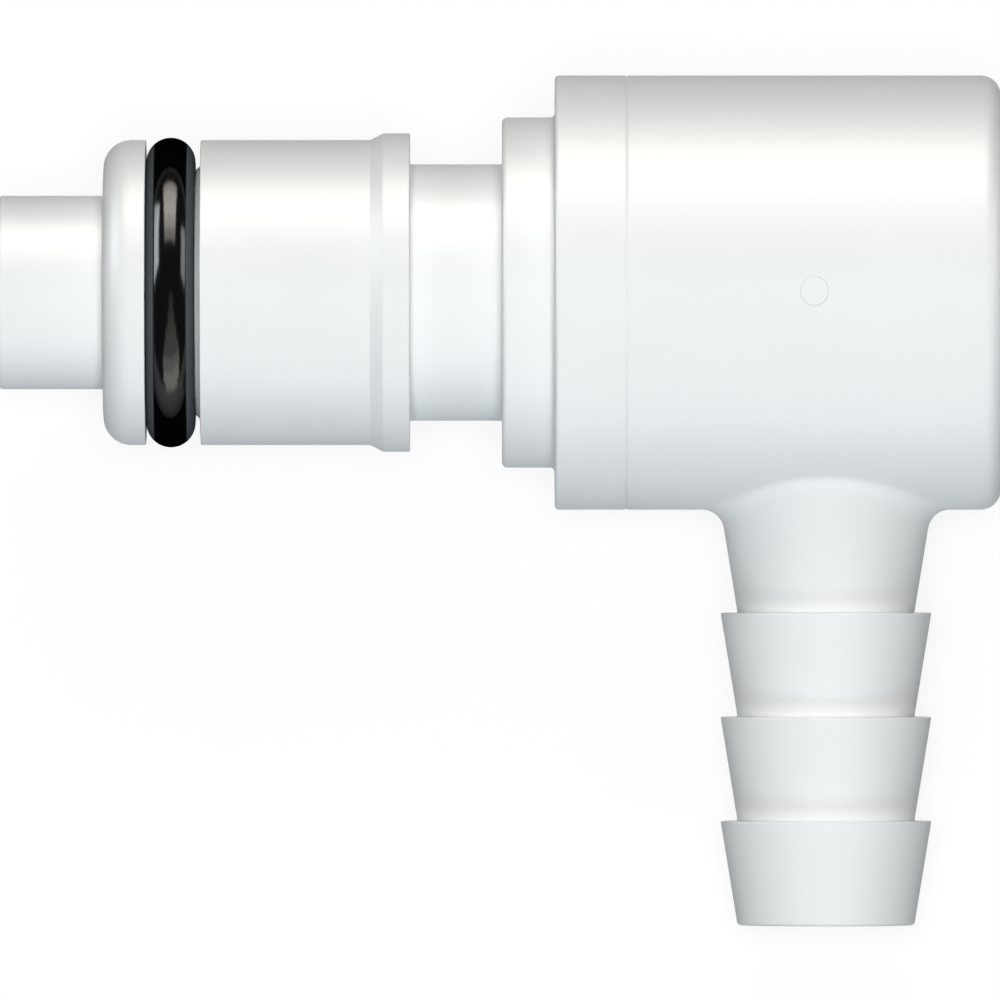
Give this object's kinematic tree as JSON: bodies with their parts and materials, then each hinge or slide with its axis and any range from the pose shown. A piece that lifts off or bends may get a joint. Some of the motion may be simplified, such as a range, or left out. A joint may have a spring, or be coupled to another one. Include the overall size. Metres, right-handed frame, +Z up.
{
  "type": "elbow quick coupling",
  "caption": "Right-angle male quick coupling: latch-grooved insert with an O-ring nose, a closed housing with a sprung shut-off poppet, and a ridged hose barb at 90 degrees.",
  "frame": {"origin": "on the floor, below the centre of the whole coupling's bounding box", "axes": "+X runs along the insert's axis from the nose to the closed back, -Y is the side that the barb leaves towards, drooping to the floor, +Z is up"},
  "size_m": [0.0362, 0.031, 0.0157],
  "materials": {
    "acetal_insert": "white acetal, moulded, satin gloss",
    "acetal_housing": "white acetal, moulded, satin gloss",
    "acetal_poppet": "white acetal, moulded, satin gloss",
    "nitrile_outer": "black nitrile rubber, smooth",
    "nitrile_inner": "black nitrile rubber, smooth",
    "spring_steel": "stainless spring wire, drawn"
  },
  "bodies": {
    "coupling": {"insert_body": "acetal_insert", "insert_o_ring": "nitrile_outer", "elbow_housing": "acetal_housing", "valve_spring": "spring_steel"},
    "poppet": {"valve_poppet": "acetal_poppet", "poppet_o_ring": "nitrile_inner"}
  },
  "joints": [
    {"name": "poppet_slide", "type": "slide", "parent": "coupling", "child": "poppet", "axis": [1, 0, 0], "range_m": [0, 0.0028], "stiffness_N_per_m": 1100, "springref_m": -0.0024, "deforming": ["valve_spring"]}
  ]
}
